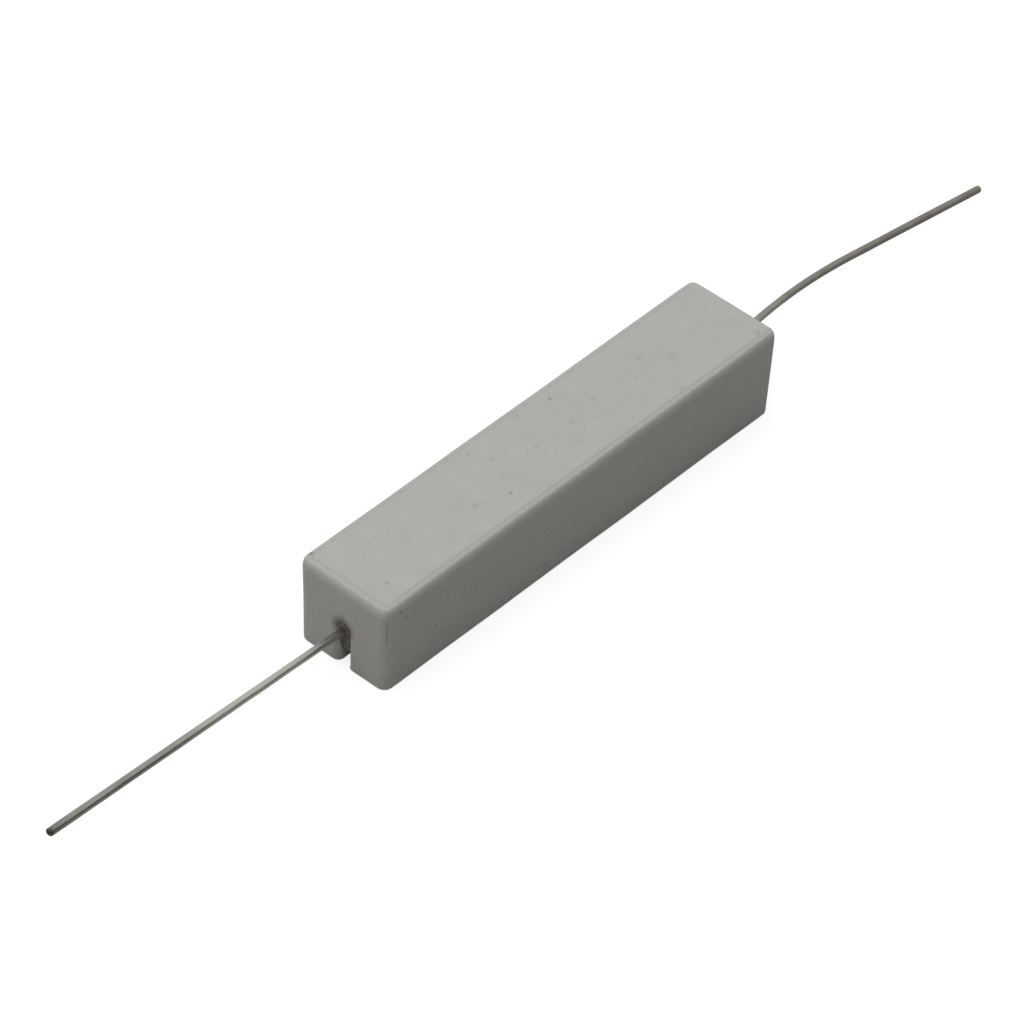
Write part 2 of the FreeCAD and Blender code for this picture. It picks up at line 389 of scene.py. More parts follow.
def plain_run(half_x, half_y, radius, reach):
    """Plan of a quarter outline: half a long side, the round corner, and the end wall up to a reach from the middle."""
    x = [
        SIDE_STEPS * (half_x - radius),
        half_x - radius + radius * np.sin(CORNER_STEPS),
        np.full(len(END_STEPS), half_x),
    ]
    y = [
        np.full(len(SIDE_STEPS), half_y),
        half_y - radius + radius * np.cos(CORNER_STEPS),
        half_y - radius + (reach - half_y + radius) * END_STEPS,
    ]
    return np.concatenate(x), -np.concatenate(y)


def level_rail(half_x, half_y, radius, z):
    """Quarter rail at one height that passes over the slot, its columns fanned out from the ones below."""
    x, y = plain_run(half_x, half_y, radius, FAN[0])
    across = [
        FAN[0] + (FAN[1] - FAN[0]) * FOOT_STEPS / (math.pi / 2),
        FAN[1] + (FAN[2] - FAN[1]) * RISE_STEPS,
        FAN[2] + (FAN[3] - FAN[2]) * ARCH_STEPS / (math.pi / 2),
    ]
    y = np.concatenate([y, -np.concatenate(across)])
    x = np.concatenate([x, np.full(len(y) - len(x), half_x)])
    return np.stack([x, y, np.full(len(x), z)], axis=-1)


def slot_outline(half, low):
    """Across and up: from the foot of the slot's side over a small round, up it and round the arch to the middle."""
    y = [
        half + FOOT_ROUND * (1 - np.sin(FOOT_STEPS)),
        np.full(len(RISE_STEPS), half),
        half * np.cos(ARCH_STEPS),
    ]
    z = [
        low + FOOT_ROUND * (1 - np.cos(FOOT_STEPS)),
        low + FOOT_ROUND + (ARCH_Z - low - FOOT_ROUND) * RISE_STEPS,
        ARCH_Z + half * np.sin(ARCH_STEPS),
    ]
    return -np.concatenate(y), np.concatenate(z)


def slot_rail(half_x, half_y, radius, z, half, depth=0.0):
    """Quarter rail that runs level along the walls and then follows the slot.

    half_x is a function of height, and the depth goes inwards from it.
    """
    x, y = plain_run(half_x(z), half_y, radius, half + FOOT_ROUND)
    slot_y, slot_z = slot_outline(half, z)
    slot_x = half_x(slot_z) - depth
    height = np.full(len(x), z)
    return np.stack([np.append(x, slot_x), np.append(y, slot_y), np.append(height, slot_z)], axis=-1)


def middle_rail(rail, reach, z):
    """Each column's nearest point on a level segment of the X axis, where the columns of both sides meet."""
    middle = rail.copy()
    middle[:, 0] = np.clip(rail[:, 0], 0, reach)
    middle[:, 1] = 0
    middle[:, 2] = z
    return middle


def bead_rows(body, count):
    """Rows over the bead, from the pan's floor out to its crest.

    The height rises as a smooth step, with a faint groove near its foot.
    """
    inner, outer = (np.array(in_mm(body, f"{edge}_side", f"{edge}_end")) for edge in ("pan", "top"))
    deep, upright = in_mm(body, "pan_depth", "upright_radius")
    rows = []
    for part in steps(count):
        side, end = inner + (outer - inner) * part
        rise = part * part * (3 - 2 * part)
        groove = GROOVE_DEPTH * math.exp(-(((part - GROOVE_AT) / GROOVE_WIDTH) ** 2))
        z = HEIGHT - deep * (1 - rise) - groove
        radius = max(upright - side, CREST_RADIUS)
        rows.append(level_rail(HALF_LENGTH - end, HALF_WIDTH - side, radius, z))
    return np.stack(rows)


def mouth_rails(body, end_x, half):
    """The sharp edge that the slot's mouth is rounded from, and the rail where the rounding ends on the rim.

    Both follow the mouth's quarter circle in plan at the foot of the slot, and the rim's own round elsewhere.
    """
    upright, rim, flare = in_mm(body, "upright_radius", "rim_radius", "slot_flare")
    side = side_face(body, 0)
    edge = slot_rail(end_x, side, upright, 0.0, half)
    plain = len(edge) - len(ARCH_STEPS) - len(RISE_STEPS) - len(FOOT_STEPS)
    foot = slice(plain, plain + len(FOOT_STEPS))
    depth = np.full(len(edge) - plain, flare)
    depth[: len(FOOT_STEPS)] = np.maximum(flare * (1 - np.cos(FOOT_STEPS)), rim)
    rim_out = slot_rail(end_x, side - rim, upright - rim, 0.0, half, depth)
    for rail, inset in ((edge, 0.0), (rim_out, rim)):
        x, y = plain_run(end_x(0) - inset, side - inset, upright - inset, half + flare)
        rail[:plain, 0], rail[:plain, 1] = x, y
        rail[foot, 1] = -half - flare * (1 - np.sin(FOOT_STEPS))
        rail[foot, 2] = 0
    return edge, rim_out


def ceramic_body(body):
    """Body as one closed grid, whose columns follow the rim and climb over both slots.

    Rows run from the middle of the pan over the bead and the rounded top edge, down the drafted wall, round the rim or
    the slot's mouth, through the wall's thickness and up the pocket to its middle. The rounding's height goes from the
    sides' setting to the ends' setting over each upright.
    """
    upright, rim, flare, wave = in_mm(body, "upright_radius", "rim_radius", "slot_flare", "waviness")
    half = in_mm(body, "slot_width") / 2
    pocket_z = HEIGHT - in_mm(body, "closed_wall")
    pocket_x, pocket_y = pocket_half(body)

    def end_x(z):
        return end_face(body, z)

    def inner_x(z):
        return pocket_x - POCKET_LEAN * z / pocket_z

    floor = bead_rows(body, 12)
    middle = middle_rail(floor[0], HALF_LENGTH - HALF_WIDTH, floor[0][0, 2])
    top_side, top_end, side_down, top_down = in_mm(body, "top_side", "top_end", "side_down", "top_down")
    crest = level_rail(HALF_LENGTH - top_end, HALF_WIDTH - top_side, CREST_RADIUS, HEIGHT)
    shoulder = level_rail(HALF_LENGTH, HALF_WIDTH, upright, HEIGHT)
    turn = np.clip((HALF_WIDTH - np.abs(shoulder[:, 1])) / upright, 0, 1)[:, None]
    lows = (HEIGHT - side_down, HEIGHT - top_down)
    low_side, low_end = (level_rail(end_x(z), side_face(body, z), upright, z) for z in lows)
    wall_top = low_side + (low_end - low_side) * turn
    mouth = slot_rail(end_x, side_face(body, rim), upright, rim, half + flare)
    edge, rim_out = mouth_rails(body, end_x, half)
    rim_in = slot_rail(lambda z: inner_x(z) + POCKET_EDGE, pocket_y + POCKET_EDGE, POCKET_RADIUS, 0.0, half)
    inner = slot_rail(inner_x, pocket_y, POCKET_RADIUS, 0.0, half)
    pocket_low = slot_rail(inner_x, pocket_y, POCKET_RADIUS, POCKET_EDGE, half + POCKET_EDGE)
    round_z = pocket_z - POCKET_ROUND
    floor_x, floor_y = inner_x(pocket_z), pocket_y - POCKET_LEAN
    pocket_high = level_rail(inner_x(round_z), floor_y + 0.02, POCKET_RADIUS, round_z)
    pocket_corner = level_rail(floor_x, floor_y, POCKET_RADIUS, pocket_z)
    floor_radius = POCKET_RADIUS - POCKET_ROUND
    pocket_floor = level_rail(floor_x - POCKET_ROUND, floor_y - POCKET_ROUND, floor_radius, pocket_z)
    pocket_middle = middle_rail(pocket_floor, pocket_x - pocket_y, pocket_z)
    rows = [
        line_rows(middle, floor[0], 10),
        floor,
        arc_rows(crest, shoulder, wall_top, 14),
        line_rows(wall_top, mouth, 22),
        arc_rows(mouth, edge, rim_out, 8),
        line_rows(rim_out, rim_in, 6),
        arc_rows(rim_in, inner, pocket_low, 4),
        line_rows(pocket_low, pocket_high, 8),
        arc_rows(pocket_high, pocket_corner, pocket_floor, 5),
        line_rows(pocket_floor, pocket_middle, 3),
        pocket_middle[None],
    ]
    points = mirrored_loop(np.concatenate(rows))
    return wander(wander(points, 7.0, wave, 11), 1.3, wave * 0.2, 23)


# ---- Cement ----


def cement_block(cement, body):
    """Main block as one closed grid whose columns follow the pocket.

    Rows go from the middle of the level face out and up the pocket's walls to its middle.
    """
    top = HEIGHT - in_mm(body, "closed_wall") - 0.02
    half_x, half_y = pocket_half(body)
    low = in_mm(cement, "level")
    edge = level_rail(half_x, half_y, POCKET_RADIUS, low)
    wall = level_rail(half_x, half_y, POCKET_RADIUS, low + 0.3)
    high = level_rail(half_x - POCKET_LEAN, half_y - POCKET_LEAN, POCKET_RADIUS, top)
    middle = middle_rail(edge, half_x - half_y, low)
    lid = middle_rail(high, half_x - half_y, top)
    rows = [
        line_rows(middle, edge, 26),
        line_rows(edge, wall, 3),
        line_rows(wall, high, 8),
        line_rows(high, lid, 3),
        lid[None],
    ]
    return mirrored_loop(np.concatenate(rows))


def flare_at(depth, flare):
    """How far the slot's wall has rolled outwards at a depth behind the end face: a quarter circle."""
    left = np.clip(flare - depth, 0, flare)
    return flare - np.sqrt(flare**2 - left**2)


def tongue_depth(cement, y, z):
    """Depth of the cement's front behind the end face: least at the lead, more towards foot, crown and sides."""
    below = AXIS_Z - 0.6
    foot, recess, slope = in_mm(cement, "tongue_foot", "tongue_recess", "tongue_slope")
    low = np.clip((below - z) / (below - foot), 0, 1)
    high = np.clip(z - AXIS_Z - 0.5, 0, 1)
    return recess + slope * low**1.3 + 0.08 * high + 0.1 * (y / 0.9) ** 2


def slot_tongue(cement, body, side):
    """Cement in one slot and its flare as a closed grid whose columns follow the slot's outline.

    Rows go along the slot to the front and close there over an uneven slope. The outline at the front is as wide as the
    flare at the front's own depth, which a few rounds of the two formulas settle.
    """
    width, flare = in_mm(body, "slot_width", "slot_flare")
    half = width / 2
    low = in_mm(cement, "tongue_foot")
    foot = steps(10)
    rise = steps(22)
    arch = np.linspace(0, math.pi / 2, 16)
    out = np.concatenate([foot, np.ones(len(rise)), np.cos(arch)])
    up = np.concatenate([np.zeros(len(foot) + len(rise)), np.sin(arch)])
    level = np.concatenate([np.full(len(foot), low), low + (ARCH_Z - low) * rise, np.full(len(arch), ARCH_Z)])
    out = np.concatenate([-out, out[::-1]])
    up, level = np.concatenate([up, up[::-1]]), np.concatenate([level, level[::-1]])
    wide = np.full(len(out), half)
    for _ in range(6):
        edge = tongue_depth(cement, out * wide, level + up * wide)
        wide = half + flare_at(edge, flare)
    start = np.full(len(out), in_mm(body, "end_wall") + 0.8)
    share = np.linspace(0, 1, 26)[:, None]
    depth = np.concatenate([start[None], start + (edge - start) * share])
    width = half + flare_at(depth, flare)
    width[0] = 0
    shrink = np.linspace(1, 0, 16)[1:, None]
    y = np.concatenate([out * width, out * wide * shrink])
    middle_z = np.clip(level, low + half, ARCH_Z)
    tall = level + up * np.concatenate([width, wide + 0 * shrink])
    tall[: len(width)] = np.where(width > 0, tall[: len(width)], middle_z)
    z = tall.copy()
    z[len(width) :] = middle_z + (tall[len(width) :] - middle_z) * shrink
    depth = np.concatenate([depth, tongue_depth(cement, y[len(width) :], z[len(width) :])])
    return np.stack([side * (end_face(body, z) - depth), y, z], axis=-1)


def cement_grids(cement, body):
    """All the cement, roughened by noise of three sizes."""
    rough = in_mm(cement, "roughness")
    grids = [cement_block(cement, body), slot_tongue(cement, body, -1), slot_tongue(cement, body, 1)]
    for size, share, first in ((1.1, 1.0, 31), (0.42, 0.7, 47), (0.2, 0.35, 61)):
        grids = [wander(grid, size, rough * share, first + seed) for seed, grid in enumerate(grids)]
    return grids


# ---- Leads ----


def route_line(corners, bends, step):
    """Points along straight runs joined by tangent arcs, at even steps, with the direction at each."""
    corners = [np.array(point) for point in corners]
    places, last = [], corners[0]
    for corner, after, radius in zip(corners[1:], corners[2:], bends):
        back = (last - corner) / np.linalg.norm(last - corner)
        onward = (after - corner) / np.linalg.norm(after - corner)
        half_turn = (math.pi - math.acos(np.clip(back @ onward, -1, 1))) / 2
        reach = radius * math.tan(half_turn)
        centre = corner + (back + onward) / np.linalg.norm(back + onward) * (radius / math.cos(half_turn))
        start = corner + back * reach - centre
        sweep = np.sign(start[0] * (corner - centre)[1] - start[1] * (corner - centre)[0]) * 2 * half_turn
        count = max(int(2 * half_turn * radius / step), 6)
        angle = np.linspace(0, sweep, count)
        turn = np.stack([np.cos(angle), np.sin(angle)], axis=-1)
        side = np.array([-start[1], start[0]])
        places.append(last[None])
        places.append(centre + turn[:, :1] * start + turn[:, 1:] * side)
        last = corner + onward * reach
    places.append(corners[-1][None])
    line = np.concatenate(places)
    travel = np.append(0, np.cumsum(np.linalg.norm(np.diff(line, axis=0), axis=1)))
    even = np.linspace(0, travel[-1], int(travel[-1] / step) + 1)
    line = np.stack([np.interp(even, travel, line[:, axis]) for axis in (0, 1)], axis=-1)
    return line, np.gradient(line, axis=0), even


def wire_surface(corners, bends, leads, thicker, seed):
    """Wire as a closed grid: a circle carried along the route, with a slanted, rounded tip.

    The radius grows evenly towards the tip, and noise ripples it. The tip is a quarter circle that ends in a flat face.
    """
    radius, tip, slant = in_mm(leads, "radius", "tip_round", "tip_slant")
    line, direction, travel = route_line(corners, bends, WIRE_STEP)
    direction = direction / np.linalg.norm(direction, axis=1)[:, None]
    shoulder = travel[-1] - tip - slant / 2
    keep = travel < shoulder
    line, direction, travel = line[keep], direction[keep], travel[keep]
    short = shoulder - travel[-1]
    round_off = np.linspace(0, math.pi / 2, 8)[1:]
    ahead = np.concatenate([np.zeros(len(line)), short + tip * np.sin(round_off), [short + tip, short + tip]])
    size = np.concatenate([np.full(len(line), radius), radius - tip * (1 - np.cos(round_off)), [radius * 0.3, 0]])
    size[: len(line)] += np.linspace(0, 1, len(line)) * thicker
    size[len(line) :] *= 1 + thicker / radius
    extra = len(ahead) - len(line)
    line = np.concatenate([line, np.repeat(line[-1:], extra, axis=0)])
    direction = np.concatenate([direction, np.repeat(direction[-1:], extra, axis=0)])
    travel = np.concatenate([travel, np.repeat(travel[-1:], extra)]) + ahead
    size[0] = 0.0
    angle = steps(40, 2 * math.pi)
    slant = slant / 2 * (travel > travel[-1] - tip * 1.001)
    forward = np.stack([direction[:, 0], direction[:, 1], np.zeros(len(line))], axis=-1)[:, None]
    sideways = np.stack([-direction[:, 1], direction[:, 0], np.zeros(len(line))], axis=-1)[:, None]
    centre = np.stack([line[:, 0], line[:, 1], np.full(len(line), AXIS_Z)], axis=-1)[:, None]
    centre = centre + forward * ahead[:, None, None]
    cosine, sine = np.cos(angle)[None, :, None], np.sin(angle)[None, :, None]
    spread = size[:, None, None]
    points = centre + spread * (sideways * cosine + np.array([0, 0, 1.0]) * sine)
    points = points + forward * (slant[:, None, None] * sine * spread / radius)
    rippled = np.stack(np.broadcast_arrays(travel[:, None] / 3, cosine[..., 0], sine[..., 0]), axis=-1)
    ripple = value_noise(rippled, 0.8, seed)
    points = points + (points - centre) * (ripple[..., None] * in_mm(leads, "unevenness") / radius)
    return points, travel, angle


def wire_coordinates(travel, angle):
    """UV of each face corner: once round the wire, and along it in millimetres."""
    rows, columns = len(travel), len(angle)
    across = np.arange(columns + 1) / columns
    row = np.repeat(np.arange(rows - 1), columns)
    column = np.tile(np.arange(columns), rows - 1)
    u = np.stack([across[column], across[column + 1], across[column + 1], across[column]], axis=-1)
    v = np.stack([travel[row], travel[row], travel[row + 1], travel[row + 1]], axis=-1)
    return np.stack([u, v], axis=-1)


# ---- Materials ----


def set_inputs(tree, node, links):
    """Links each named or numbered input of a node to a socket, or sets it to a value."""
    for key, value in links.items():
        if isinstance(value, bpy.types.NodeSocket):
            tree.links.new(value, node.inputs[key])
        else:
            node.inputs[key].default_value = value


def add_node(tree, kind, links=None, **settings):
    """A shader node with its settings and inputs."""
    made = tree.nodes.new(kind)
    for key, value in settings.items():
        setattr(made, key, value)
    set_inputs(tree, made, links or {})
    return made


def math_node(tree, operation, *values):
    """Result of a Math node. Each value is a socket or a number."""
    return add_node(tree, "ShaderNodeMath", dict(enumerate(values)), operation=operation).outputs[0]


def vector_node(tree, operation, *values, **links):
    """Result of a Vector Math node: a length where that is the operation, and a vector otherwise."""
    made = add_node(tree, "ShaderNodeVectorMath", {**dict(enumerate(values)), **links}, operation=operation)
    return made.outputs["Value" if operation == "LENGTH" else "Vector"]


def map_range(tree, value, from_min, from_max, to_min=0.0, to_max=1.0, **settings):
    """A value carried from one range to another, which is 0 to 1 unless it is given."""
    links = {"Value": value, "From Min": from_min, "From Max": from_max, "To Min": to_min, "To Max": to_max}
    return add_node(tree, "ShaderNodeMapRange", links, **settings).outputs["Result"]


def mix_colours(tree, share, first, second):
    """Colour between two colours by a share."""
    first, second = (part if isinstance(part, bpy.types.NodeSocket) else (*part, 1.0) for part in (first, second))
    return add_node(tree, "ShaderNodeMix", {0: share, 6: first, 7: second}, data_type="RGBA").outputs[2]


def shade(colour, factor):
    """A colour made lighter or darker by a factor."""
    return tuple(min(part * factor, 1.0) for part in colour)


def part_of(tree, point, axis):
    """One coordinate of a point."""
    return add_node(tree, "ShaderNodeSeparateXYZ", {0: point}).outputs[axis]


def new_group(name, inputs, outputs):
    """An empty shader node group: the tree, the outputs of its input node, and its output node.

    Inputs come with their defaults, where three numbers make a vector. Outputs are values.
    """
    tree = bpy.data.node_groups.new(name, "ShaderNodeTree")
    for label, default in inputs.items():
        kind = "NodeSocketVector" if isinstance(default, tuple) else "NodeSocketFloat"
        tree.interface.new_socket(label, in_out="INPUT", socket_type=kind).default_value = default
    for label in outputs:
        tree.interface.new_socket(label, in_out="OUTPUT", socket_type="NodeSocketFloat")
    return tree, tree.nodes.new("NodeGroupInput").outputs, tree.nodes.new("NodeGroupOutput")


def grain_group():
    """Fired or poured grain: fine noise, patches far larger, and pits of the fine size. Sizes are in millimetres."""
    inputs = {"Point": (0.0, 0.0, 0.0), "Fine": 0.12, "Patch": 6.0}
    tree, given, result = new_group("fired_grain", inputs, ["Grain", "Patches", "Pits"])
    point = given["Point"]
    fine, patch = (math_node(tree, "DIVIDE", 1 / MM, given[size]) for size in ("Fine", "Patch"))
    grain = add_node(tree, "ShaderNodeTexNoise", {"Vector": point, "Scale": fine, "Detail": 3.0, "Roughness": 0.6})
    links = {"Vector": point, "Scale": patch, "Detail": 4.0, "Distortion": 0.4}
    patches = add_node(tree, "ShaderNodeTexNoise", links)
    cells = add_node(tree, "ShaderNodeTexVoronoi", {"Vector": point, "Scale": fine})
    pits = map_range(tree, cells.outputs["Distance"], 0.05, 0.3, 1.0, 0.0)
    set_inputs(tree, result, {"Grain": grain.outputs["Fac"], "Patches": patches.outputs["Fac"], "Pits": pits})
    return tree


def mark_group():
    """One ragged mark: full strength at its centre, none past its radius.

    Noise moves the points by up to half the radius, or half of a set size where that is less. The centre and radius are
    in millimetres, and the stretch squeezes the mark along each axis.
    """
    nowhere, evenly = (0.0, 0.0, 0.0), (1.0, 1.0, 1.0)
    inputs = {"Point": nowhere, "Centre": nowhere, "Radius": 0.4, "Strength": 0.5, "Stretch": evenly}
    tree, given, result = new_group("ragged_mark", inputs, ["Mask"])
    offset = vector_node(tree, "SUBTRACT", vector_node(tree, "SCALE", given["Point"], Scale=1 / MM), given["Centre"])
    noise = add_node(tree, "ShaderNodeTexNoise", {"Vector": given["Point"], "Scale": 2600.0, "Detail": 2.0})
    ragged = vector_node(tree, "SUBTRACT", noise.outputs["Color"], (0.5, 0.5, 0.5))
    most = math_node(tree, "MINIMUM", given["Radius"], RAGGED_MOST)
    moved = vector_node(tree, "ADD", offset, vector_node(tree, "SCALE", ragged, Scale=most))
    reach = vector_node(tree, "LENGTH", vector_node(tree, "MULTIPLY", moved, given["Stretch"]))
    mask = map_range(tree, reach, 0.0, given["Radius"], given["Strength"], 0.0, interpolation_type="SMOOTHSTEP")
    set_inputs(tree, result, {"Mask": mask})
    return tree


def use_group(tree, name, make, links):
    """Outputs of a node group that is built once, with inputs of their own."""
    group = bpy.data.node_groups.get(name) or make()
    return add_node(tree, "ShaderNodeGroup", links, node_tree=group).outputs


def grain_node(tree, point, fine, patch):
    """Outputs of the shared grain, with sizes of their own."""
    return use_group(tree, "fired_grain", grain_group, {"Point": point, "Fine": fine, "Patch": patch})


def marked(tree, point, marks, colour, tint):
    """A colour with ragged marks of another on it, the strongest mark at each point."""
    total = 0.0
    for mark in marks:
        links = {"Point": point, **dict(zip(("Centre", "Radius", "Strength", "Stretch"), mark))}
        total = math_node(tree, "MAXIMUM", total, use_group(tree, "ragged_mark", mark_group, links)["Mask"])
    return mix_colours(tree, total, colour, tint)


def at_both_ends(mark):
    """A mark at each end, mirrored in X."""
    (x, y, z), *rest = mark
    return [((side * x, y, z), *rest) for side in (-1, 1)]


def new_material(name):
    """An empty material with a Principled shader, its output and Object coordinates."""
    material = bpy.data.materials.new(name)
    material.use_nodes = True
    tree = material.node_tree
    tree.nodes.clear()
    shader = tree.nodes.new("ShaderNodeBsdfPrincipled")
    output = tree.nodes.new("ShaderNodeOutputMaterial")
    tree.links.new(shader.outputs[0], output.inputs["Surface"])
    point = tree.nodes.new("ShaderNodeTexCoord").outputs["Object"]
    return material, tree, shader, point


def bump(tree, shader, height, distance, strength=1.0):
    """Bump on a shader from a height. The distance is in millimetres."""
    made = add_node(tree, "ShaderNodeBump", {"Height": height, "Distance": distance * MM, "Strength": strength})
    tree.links.new(made.outputs["Normal"], shader.inputs["Normal"])


def valley_dirt_and_shade(tree, point):
    """Faint line of dirt and painted shade at the foot of the bead, along the near end and, stronger, along one long
    side.

    It is strongest where the smaller of the two insets, blended with a smooth minimum, is the set inset.
    """
    end, side = (
        map_range(tree, part_of(tree, point, axis), low * MM, 0.0, 0.0, -low) for axis, low in enumerate(VALLEY_EDGES)
    )
    inset = math_node(tree, "SMOOTH_MIN", end, side, 0.6)
    off = math_node(tree, "ABSOLUTE", math_node(tree, "SUBTRACT", inset, VALLEY_INSET))
    line = map_range(tree, off, 0.05, 0.42, 1.0, 0.0)
    share = map_range(tree, math_node(tree, "SUBTRACT", end, side), -0.3, 1.5, 0.12, 0.27)
    above = map_range(tree, part_of(tree, point, 2), 11.4 * MM, 11.6 * MM)
    return math_node(tree, "MULTIPLY", math_node(tree, "MULTIPLY", line, share), above)


def scratch_mask(tree, point, place, low, high):
    """Thin upright scratch over a place in plan, darkest at its foot and fading towards its top."""
    noise = add_node(tree, "ShaderNodeTexNoise", {"Vector": point, "Scale": 1500.0, "Detail": 1.0}).outputs["Fac"]
    off = vector_node(tree, "SUBTRACT", point, (place[0] * MM, place[1] * MM, 0.0))
    off = vector_node(tree, "LENGTH", vector_node(tree, "MULTIPLY", off, (1.0, 1.0, 0.0)))
    mask = map_range(tree, off, 0.06 * MM, 0.2 * MM, 1.0, 0.0)
    height = part_of(tree, point, 2)
    fade = map_range(tree, height, low * MM, high * MM, 0.75, 0.2)
    foot = map_range(tree, height, (low - 0.15) * MM, low * MM)
    top = map_range(tree, height, (high - 0.5) * MM, high * MM, 1.0, 0.0)
    worn = map_range(tree, noise, 0.3, 0.5, 0.45, 1.0)
    for factor in (fade, foot, top, worn):
        mask = math_node(tree, "MULTIPLY", mask, factor)
    return mask


def ceramic_material(body):
    """Fired ceramic: fine speckle with painted shade on the walls, faint patches, handling marks, a groove line of dirt
    and painted shade, and brown cement marks with painted shade by each lead.
    """
    material, tree, shader, point = new_material("fired_ceramic")
    grain = grain_node(tree, point, 0.26, 2.6)
    blotch = map_range(tree, grain["Patches"], 0.3, 0.7)
    colour = mix_colours(tree, blotch, shade(body.colour, 0.96), shade(body.colour, 1.035))
    # Dark speckle of the grain, with a larger share on the walls than on the closed face: the extra share is painted
    # shade
    share = map_range(tree, part_of(tree, point, 2), 10.6 * MM, 11.5 * MM, 0.42, 0.24)
    speckle = math_node(tree, "MULTIPLY", map_range(tree, grain["Grain"], 0.35, 0.7), share)
    colour = mix_colours(tree, speckle, colour, shade(body.colour, 0.5))
    # Dark line in the bead's groove: dirt with painted shade
    colour = mix_colours(tree, valley_dirt_and_shade(tree, point), colour, shade(body.soot_and_shade, 1.2))
    brown = [((x, y, BROWN_Z), radius, strength) for x, y, radius, strength in BROWN_MARKS]
    colour = marked(tree, point, brown, colour, shade(body.stain_and_shade, 1.2))
    colour = marked(tree, point, DARK_MARKS, colour, body.soot_and_shade)
    scratch = scratch_mask(tree, point, SCRATCH_AT, *SCRATCH_RISE)
    colour = mix_colours(tree, scratch, colour, shade(body.soot_and_shade, 0.7))
    # Brown cement mark with painted shade round the mouth of each slot
    colour = marked(tree, point, at_both_ends(HALO_STAIN_AND_SHADE), colour, shade(body.stain_and_shade, 0.5))
    roughness = map_range(tree, grain["Patches"], 0.3, 0.7, 0.5, 0.62)
    set_inputs(tree, shader, {"Base Color": colour, "Roughness": roughness})
    bump(tree, shader, grain["Grain"], 0.03, 0.6)
    return material


def cement_material(cement):
    """Set cement: brown-grey paste with pale grains, dark pores, rust by the lead, painted shade over the lead and a
    painted shadow below it.
    """
    material, tree, shader, point = new_material("set_cement")
    grain = grain_node(tree, point, 0.32, 0.9)
    blotch = map_range(tree, grain["Patches"], 0.36, 0.64)
    colour = mix_colours(tree, blotch, shade(cement.colour, 0.45), shade(cement.colour, 1.35))
    pale = map_range(tree, grain["Grain"], 0.52, 0.68, 0.0, 0.7)
    colour = mix_colours(tree, pale, colour, cement.aggregate)
    # Rust, then painted shade over the lead and a painted shadow below it
    for mark, tint in ((RUST, RUST_COLOUR), (OVER_LEAD_SHADE, OVER_LEAD_SHADE_COLOUR), (SHADOW_BELOW, SHADOW_BELOW_COLOUR)):
        colour = marked(tree, point, at_both_ends(mark), colour, tint)
    pores = map_range(tree, grain["Pits"], 0.4, 1.0, 0.0, 0.6)
    colour = mix_colours(tree, pores, colour, shade(cement.colour, 0.4))
    set_inputs(tree, shader, {"Base Color": colour, "Roughness": 0.9})
    bump(tree, shader, grain["Grain"], 0.12)
    return material


def wire_material(leads):
    """Tinned wire: drawing lines along it, dull patches, and darker where it leaves the body.

    The near wire is painted brighter along a stretch, a painted highlight, and burnt at its tip. The far wire is duller
    outside the body.
    """
    material, tree, shader, point = new_material("tinned_wire")
    coordinates = add_node(tree, "ShaderNodeUVMap", uv_map="along_wire").outputs[0]
    lines = add_node(tree, "ShaderNodeMapping", {"Vector": coordinates, "Scale": (26.0, 0.35, 1.0)}).outputs[0]
    drawn = add_node(tree, "ShaderNodeTexNoise", {"Vector": lines, "Scale": 1.0, "Detail": 3.0}).outputs["Fac"]
    grain = grain_node(tree, point, 0.3, 3.0)
    colour = mix_colours(tree, map_range(tree, drawn, 0.3, 0.7), shade(leads.colour, 0.85), leads.colour)
    dull = map_range(tree, grain["Patches"], 0.45, 0.75, 0.0, 0.6)
    colour = mix_colours(tree, dull, colour, leads.tarnish)
    colour = marked(tree, point, [BURNT], colour, shade(leads.tarnish, 0.35))
    # Darker where the wire leaves the body
    colour = marked(tree, point, at_both_ends(ROOT), colour, leads.tarnish)
    along = math_node(tree, "DIVIDE", part_of(tree, point, 0), MM)
    aged = map_range(tree, along, *AGED_RANGE)
    colour = mix_colours(tree, math_node(tree, "MULTIPLY", aged, 0.5), colour, leads.tarnish)
    # Painted highlight: the near wire lighter along a stretch of X
    past = map_range(tree, along, *FADE_RANGE, 1.0, 0.2)
    painted_highlight = math_node(tree, "MULTIPLY", map_range(tree, along, *HIGHLIGHT_RANGE), past)
    colour = mix_colours(tree, painted_highlight, colour, shade(leads.colour, 1.42))
    rough = math_node(tree, "MULTIPLY_ADD", aged, 0.24, map_range(tree, grain["Patches"], 0.3, 0.7, 0.26, 0.4))
    set_inputs(tree, shader, {"Metallic": 1.0, "Base Color": colour, "Roughness": rough})
    bump(tree, shader, math_node(tree, "ADD", drawn, grain["Grain"]), 0.02, 0.5)
    return material


def metal_material(name, colour, roughness, fine):
    """Plain metal of the wound element: patches of tone and fine drawing texture."""
    material, tree, shader, point = new_material(name)
    grain = grain_node(tree, point, fine, 2.5)
    tone = mix_colours(tree, grain["Patches"], shade(colour, 0.75), shade(colour, 1.15))
    rough = map_range(tree, grain["Grain"], 0.3, 0.7, roughness * 0.85, roughness * 1.2)
    set_inputs(tree, shader, {"Metallic": 1.0, "Base Color": tone, "Roughness": rough})
    bump(tree, shader, grain["Grain"], 0.01, 0.5)
    return material


def core_material(element):
    """Unglazed ceramic of the winding's core."""
    material, tree, shader, point = new_material("core_ceramic")
    grain = grain_node(tree, point, 0.1, 3.0)
    tone = mix_colours(tree, grain["Patches"], shade(element.core, 0.9), shade(element.core, 1.05))
    set_inputs(tree, shader, {"Base Color": tone, "Roughness": 0.75})
    bump(tree, shader, grain["Grain"], 0.02)
    return material


